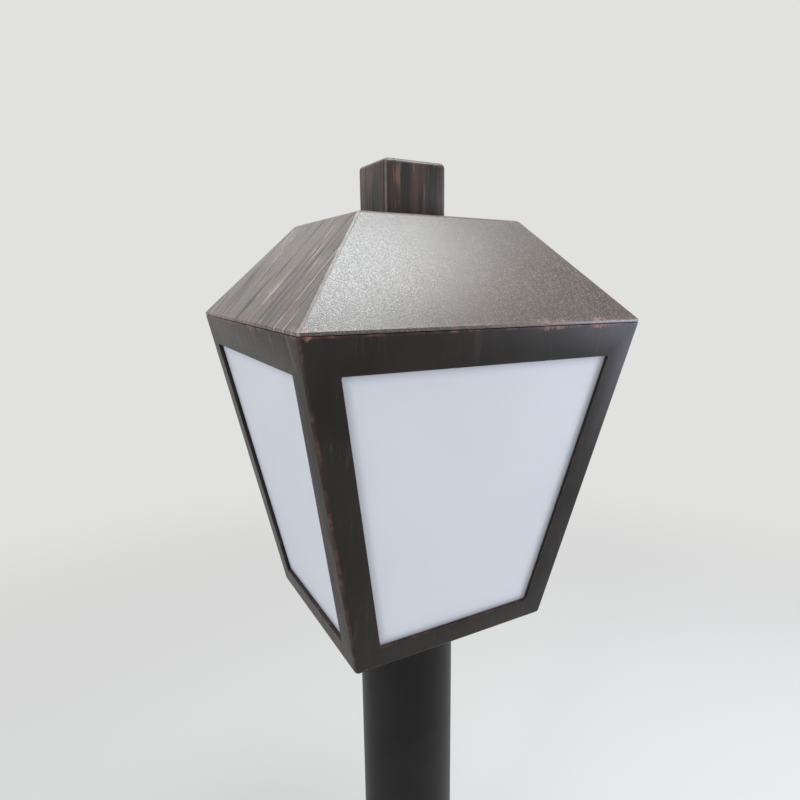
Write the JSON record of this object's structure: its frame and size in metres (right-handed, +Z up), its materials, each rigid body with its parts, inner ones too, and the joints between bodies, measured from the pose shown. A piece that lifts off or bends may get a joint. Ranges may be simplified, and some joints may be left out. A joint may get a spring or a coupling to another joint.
{
  "type": "garden lantern",
  "caption": "Tapered square lantern head with opal panes and a pyramid roof with a small chimney box, on a round post with a bolted foot plate.",
  "frame": {"origin": "centre of the foot plate's underside, on the ground", "axes": "+Z up along the post, -Y out of the front pane, +X out of the right pane"},
  "size_m": [0.2, 0.2, 0.6499],
  "materials": {
    "bronze_paint": "dark bronze paint, brushed over with copper",
    "zinc_steel": "zinc plated",
    "black_rubber": "matt",
    "opal_acrylic": "opal white, satin",
    "white_ceramic": "glazed white",
    "brass_contact": "bright",
    "tinned_copper": "tinned",
    "terminal_nylon": "natural nylon",
    "live_insulation": "brown",
    "neutral_insulation": "blue",
    "earth_insulation": "green with a yellow stripe",
    "black_insulator": "glossy",
    "cap_aluminium": "plain",
    "lamp_housing_plastic": "white",
    "lamp_dome_plastic": "frosted white",
    "chip_phosphor": "yellow resin"
  },
  "bodies": {
    "lantern": {"base_flange": "bronze_paint", "post_tube": "bronze_paint", "cable_grommet": "black_rubber", "post_collar": "zinc_steel", "collar_screws": "zinc_steel", "collar_grub_screws": "zinc_steel", "floor_tray": "bronze_paint", "front_frame": "bronze_paint", "right_frame": "bronze_paint", "back_frame": "bronze_paint", "left_frame": "bronze_paint", "top_ring": "bronze_paint", "roof_seal": "black_rubber", "front_gasket": "black_rubber", "right_gasket": "black_rubber", "back_gasket": "black_rubber", "left_gasket": "black_rubber", "front_pane": "opal_acrylic", "right_pane": "opal_acrylic", "back_pane": "opal_acrylic", "left_pane": "opal_acrylic", "pane_clips": "zinc_steel", "clip_screws": "zinc_steel", "holder_bridge": "zinc_steel", "bridge_screws": "zinc_steel", "holder_nipple": "zinc_steel", "holder_nut": "zinc_steel", "holder_body": "white_ceramic", "holder_shell": "brass_contact", "holder_contact": "brass_contact", "terminal_block": "terminal_nylon", "terminal_screws": "zinc_steel", "lead_live": "live_insulation", "lead_neutral": "neutral_insulation", "lead_earth": "earth_insulation", "earth_screw": "brass_contact", "earth_lug": "tinned_copper"},
    "roof": {"roof_shell": "bronze_paint", "roof_collar": "bronze_paint", "roof_springs": "zinc_steel", "spring_rivets": "zinc_steel", "chimney": "bronze_paint", "chimney_strap": "zinc_steel", "chimney_washer": "zinc_steel", "chimney_screw": "zinc_steel"},
    "lamp_tip": {"lamp_tip": "brass_contact"},
    "lamp": {"lamp_insulator": "black_insulator", "lamp_cap": "cap_aluminium", "lamp_housing": "lamp_housing_plastic", "lamp_globe": "lamp_dome_plastic", "lamp_board": "cap_aluminium", "lamp_chips": "chip_phosphor"}
  },
  "joints": [
    {"name": "roof_lift", "type": "slide", "parent": "lantern", "child": "roof", "axis": [0, 0, 1], "range_m": [0, 0.1]},
    {"name": "lamp_lift", "type": "slide", "parent": "lantern", "child": "lamp_tip", "axis": [0, 0, 1], "range_m": [0, 0.03]},
    {"name": "lamp_turn", "type": "hinge", "parent": "lamp_tip", "child": "lamp", "pos_m": [0, 0, 0.4206], "axis": [0, 0, 1], "range_deg": [0, 2980]}
  ],
  "couplings": [
    {"joint": "lamp_lift", "follows": "lamp_turn", "m_per_rad": 0.00057614}
  ]
}
